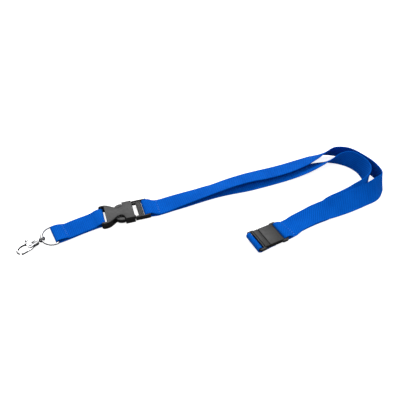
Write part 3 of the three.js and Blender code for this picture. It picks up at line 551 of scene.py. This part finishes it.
class Shader:
    """A material under construction: its Principled shader and a few shorthands for nodes."""

    def __init__(self, name):
        self.material = bpy.data.materials.new(name)
        self.material.use_nodes = True
        self.nodes = self.material.node_tree.nodes
        self.links = self.material.node_tree.links
        self.surface = self.nodes["Principled BSDF"]

    def put(self, socket, value):
        self.surface.inputs[socket].default_value = value

    def join(self, output, socket):
        self.links.new(output, self.surface.inputs[socket])

    def math(self, operation, a, b=0.0, c=0.0):
        node = self.nodes.new("ShaderNodeMath")
        node.operation = operation
        for socket, value in zip(node.inputs, (a, b, c)):
            if isinstance(value, (int, float)):
                socket.default_value = value
            else:
                self.links.new(value, socket)
        return node.outputs[0]

    def noise(self, scale, detail=4.0, roughness=0.55, stretch=None):
        node = self.nodes.new("ShaderNodeTexNoise")
        node.inputs["Scale"].default_value = scale
        node.inputs["Detail"].default_value = detail
        node.inputs["Roughness"].default_value = roughness
        coords = self.nodes.new("ShaderNodeTexCoord").outputs["Object"]
        if stretch:
            mapping = self.nodes.new("ShaderNodeMapping")
            mapping.inputs["Scale"].default_value = stretch
            self.links.new(coords, mapping.inputs[0])
            coords = mapping.outputs[0]
        self.links.new(coords, node.inputs["Vector"])
        return node.outputs["Fac"]

    def ramp(self, factor, *stops):
        node = self.nodes.new("ShaderNodeValToRGB")
        elements = node.color_ramp.elements
        while len(elements) < len(stops):
            elements.new(0.5)
        for element, (position, colour) in zip(elements, stops):
            element.position = position
            element.color = (*colour, 1)
        self.links.new(factor, node.inputs[0])
        return node.outputs[0]

    def bump(self, height, distance, strength=1.0):
        node = self.nodes.new("ShaderNodeBump")
        node.inputs["Distance"].default_value = distance
        node.inputs["Strength"].default_value = strength
        self.links.new(height, node.inputs["Height"])
        self.join(node.outputs[0], "Normal")


def webbing_material():
    """Ribs across the band, warp yarns along it that lie over and under in turn, and the twill they make."""
    s = Shader("webbing")
    uv = s.nodes.new("ShaderNodeUVMap")
    uv.uv_map = "weave"
    split = s.nodes.new("ShaderNodeSeparateXYZ")
    s.links.new(uv.outputs[0], split.inputs[0])
    along, across = split.outputs[0], split.outputs[1]
    turn = 2 * math.pi
    rib = s.math("COSINE", s.math("MULTIPLY", along, turn / RIB_PITCH))
    row = s.math("FLOOR", s.math("ADD", s.math("DIVIDE", along, RIB_PITCH), 0.5))
    yarns = s.math("MULTIPLY", across, turn / YARN_PITCH)
    yarn = s.math("COSINE", s.math("MULTIPLY_ADD", row, math.pi, yarns))
    lean = s.math("MULTIPLY", across, -turn / TWILL_ACROSS)
    slant = s.math("MULTIPLY_ADD", along, turn / TWILL_ALONG, lean)
    twill = s.math("COSINE", slant)
    fuzz = s.noise(2600.0, 3.0)
    cloud = s.noise(45.0, 3.0)
    weave = s.math("MULTIPLY_ADD", rib, 0.30, s.math("MULTIPLY", yarn, 0.24))
    weave = s.math("MULTIPLY_ADD", twill, 0.42, weave)
    height = s.math("MULTIPLY_ADD", fuzz, 0.5, weave)
    # The colour follows the weave's relief: the low parts of the ribs, yarns and twill are painted darker,
    # as painted shade in the weave's hollows. The cloud and fuzz noise add tone that differs at random.
    tone = s.math("MULTIPLY_ADD", weave, 0.30, s.math("MULTIPLY", cloud, 0.45))
    tone = s.math("MULTIPLY_ADD", fuzz, 0.45, tone)
    colour = s.ramp(
        tone,
        (0.10, (0.000, 0.052, 0.33)),
        (0.45, (0.000, 0.098, 0.54)),
        (0.85, (0.004, 0.155, 0.72)),
    )
    s.join(colour, "Base Color")
    s.put("Roughness", 0.8)
    s.put("Specular IOR Level", 0.1)
    s.put("Sheen Weight", 0.06)
    s.put("Sheen Roughness", 0.5)
    s.put("Sheen Tint", (0.05, 0.45, 1.0, 1))
    s.put("Specular Tint", (0.1, 0.45, 1.0, 1))
    s.bump(height, 0.00014, 0.7)
    return s.material


def thread_material():
    s = Shader("thread")
    twist = s.nodes.new("ShaderNodeTexWave")
    twist.inputs["Scale"].default_value = 900.0
    twist.inputs["Distortion"].default_value = 1.5
    s.links.new(s.nodes.new("ShaderNodeTexCoord").outputs["Object"], twist.inputs["Vector"])
    # The colour follows the twist's relief, the same wave as the bump: painted shade, darker in the grooves
    # between the plies.
    s.join(s.ramp(twist.outputs["Fac"], (0.0, (0.0, 0.18, 0.76)), (1.0, (0.03, 0.31, 0.93))), "Base Color")
    s.put("Roughness", 0.5)
    s.put("Sheen Weight", 0.2)
    s.bump(twist.outputs["Fac"], 0.00006, 0.6)
    return s.material


def plastic_material():
    s = Shader("plastic")
    grain = s.noise(2300.0, 5.0, 0.6)
    flow = s.noise(120.0, 4.0, 0.6, (1.0, 2.2, 1.0))
    tone = s.math("ADD", s.math("MULTIPLY", flow, 0.6), s.math("MULTIPLY", grain, 0.4))
    s.join(s.ramp(tone, (0.3, (0.006, 0.006, 0.0063)), (0.7, (0.013, 0.013, 0.0134))), "Base Color")
    rough = s.nodes.new("ShaderNodeMapRange")
    rough.inputs["To Min"].default_value = 0.42
    rough.inputs["To Max"].default_value = 0.6
    s.links.new(flow, rough.inputs["Value"])
    s.join(rough.outputs[0], "Roughness")
    s.put("Specular IOR Level", 0.55)
    s.bump(grain, 0.00005, 0.5)
    return s.material


def metal_material():
    s = Shader("metal")
    smear = s.noise(240.0, 4.0, 0.6)
    scratch = s.noise(900.0, 3.0, 0.6, (0.15, 1.0, 1.0))
    s.join(s.ramp(smear, (0.3, (0.44, 0.44, 0.45)), (0.7, (0.62, 0.62, 0.63))), "Base Color")
    s.put("Metallic", 1.0)
    s.put("Specular Tint", (0.3, 0.3, 0.31, 1))
    rough = s.nodes.new("ShaderNodeMapRange")
    rough.inputs["To Min"].default_value = 0.08
    rough.inputs["To Max"].default_value = 0.24
    s.links.new(smear, rough.inputs["Value"])
    s.join(rough.outputs[0], "Roughness")
    s.bump(scratch, 0.00002, 0.3)
    return s.material


MATERIALS = {
    "webbing": webbing_material(),
    "thread": thread_material(),
    "plastic": plastic_material(),
    "metal": metal_material(),
}


def finish_piece(piece, slot, body, *nodes):
    piece.data.materials.clear()
    piece.data.materials.append(MATERIALS[slot])
    if body:
        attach(piece, body)
    if nodes:
        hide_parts(*nodes)


# ---- straps ------------------------------------------------------------------------------

def middle_of(node):
    low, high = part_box(node)
    return np.array((low + high) / 2) / MM - ORIGIN


rows = {
    "stitch_row_buckle": "neck",
    "stitch_row_socket": "neck",
    "stitch_row_ring": "short",
}
row_places = [middle_of(node) for node in rows]

neck = webbing("neck_webbing", neck_strap_route(), row_places)
finish_piece(neck, "webbing", "neck", "neck_strap")
short = webbing("short_webbing", short_strap_route(), row_places, joined=True)
finish_piece(short, "webbing", "short", "short_strap")
tongue_end = webbing("tongue_end_webbing", tongue_end_route(), row_places)
finish_piece(tongue_end, "webbing", None, "neck_strap_tongue_end")
blend_start = at(breakaway_at(CUT_X - 2, 0, 0))
blend_end = at(breakaway_at(-4, 0, 0))
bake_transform(tongue_end)


# ---- sewn rows ---------------------------------------------------------------------------

def sewn_row(name, route, spot):
    """Short dashes of thread side by side across a band's upper face, at the place nearest to spot."""
    t, along = even_steps(route, 0.2)
    middle, width, normal = band_frames(route, t)
    nearest = np.linalg.norm(middle - spot, axis=1).argmin()
    reach = int(STITCH_LENGTH / 2 / along[1])
    steps = np.linspace(nearest - reach, nearest + reach, 7).astype(int)
    up = math.copysign(1, normal[nearest][2])
    count = int((WEB_WIDTH - 2 * STITCH_MARGIN) / STITCH_PITCH / 2)
    mesh = bmesh.new()
    for n in range(-count, count + 1):
        rings = []
        for k, i in enumerate(steps):
            bow = 1 - (abs(k - 3) / 3) ** 4
            lean = 0.12 * (k - 3)
            core = middle[i] + width[i] * (n * STITCH_PITCH + lean)
            core = core + normal[i] * up * (WEB_THICKNESS / 2 + STITCH_RADIUS * (1.3 * bow - 1.1))
            ring = []
            for turn in np.linspace(0, 2 * math.pi, 9)[:-1]:
                out = width[i] * math.cos(turn) + normal[i] * math.sin(turn)
                ring.append(mesh.verts.new(at(core + out * STITCH_RADIUS * (0.35 + 0.65 * bow))))
            rings.append(ring)
        for one, two in zip(rings, rings[1:]):
            for j in range(8):
                mesh.faces.new((one[j], one[(j + 1) % 8], two[(j + 1) % 8], two[j]))
        mesh.faces.new(rings[0])
        mesh.faces.new(rings[-1][::-1])
    bmesh.ops.recalc_face_normals(mesh, faces=mesh.faces)
    data = bpy.data.meshes.new(name)
    mesh.to_mesh(data)
    mesh.free()
    data.shade_smooth()
    row = bpy.data.objects.new(name, data)
    bpy.context.scene.collection.objects.link(row)
    return row


for (node, body), spot in zip(rows.items(), row_places):
    route = short_strap_route() if body == "short" else neck_strap_route()
    finish_piece(sewn_row("sewn_" + node, route, spot), "thread", body, node)


# ---- moulded and cast pieces -------------------------------------------------------------

def smoothed(node_name, rounding, angle):
    """A copy of a CAD node with its edges rounded, and shaded smooth up to an angle."""
    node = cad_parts[node_name]
    mesh = bmesh.new()
    mesh.from_mesh(node.data)
    mesh.transform(node.matrix_world)
    bmesh.ops.remove_doubles(mesh, verts=mesh.verts, dist=2e-6)
    bmesh.ops.dissolve_limit(mesh, angle_limit=math.radians(1.0), verts=mesh.verts, edges=mesh.edges)
    data = bpy.data.meshes.new(node_name + "_look")
    mesh.to_mesh(data)
    mesh.free()
    data.shade_smooth()
    data.set_sharp_from_angle(angle=math.radians(angle))
    piece = bpy.data.objects.new(node_name + "_look", data)
    bpy.context.scene.collection.objects.link(piece)
    if rounding:
        bevel = piece.modifiers.new("rounding", "BEVEL")
        bevel.width = rounding * MM
        bevel.segments = 2
        bevel.limit_method = "ANGLE"
        bevel.angle_limit = math.radians(35)
        bevel.use_clamp_overlap = True
        bevel.harden_normals = True
    return piece


PARTS = (
    ("buckle_female_body", "plastic", "female", 0.35),
    ("buckle_male_frame", "plastic", "male", 0.15),
    ("buckle_prong_far", "plastic", "prong_far", 0.35),
    ("buckle_prong_near", "plastic", "prong_near", 0.35),
    ("breakaway_socket", "plastic", "neck", 0.2),
    ("breakaway_tongue", "plastic", "tongue", 0.2),
    ("d_ring", "metal", "ring", 0.0),
    ("swivel_eye", "metal", "eye", 0.0),
    ("hook_body", "metal", "hook", 0.15),
    ("trigger_lever", "metal", "lever", 0.15),
    ("trigger_rivet", "metal", "hook", 0.0),
)
for node, slot, body, rounding in PARTS:
    finish_piece(smoothed(node, rounding, 40), slot, body, node)
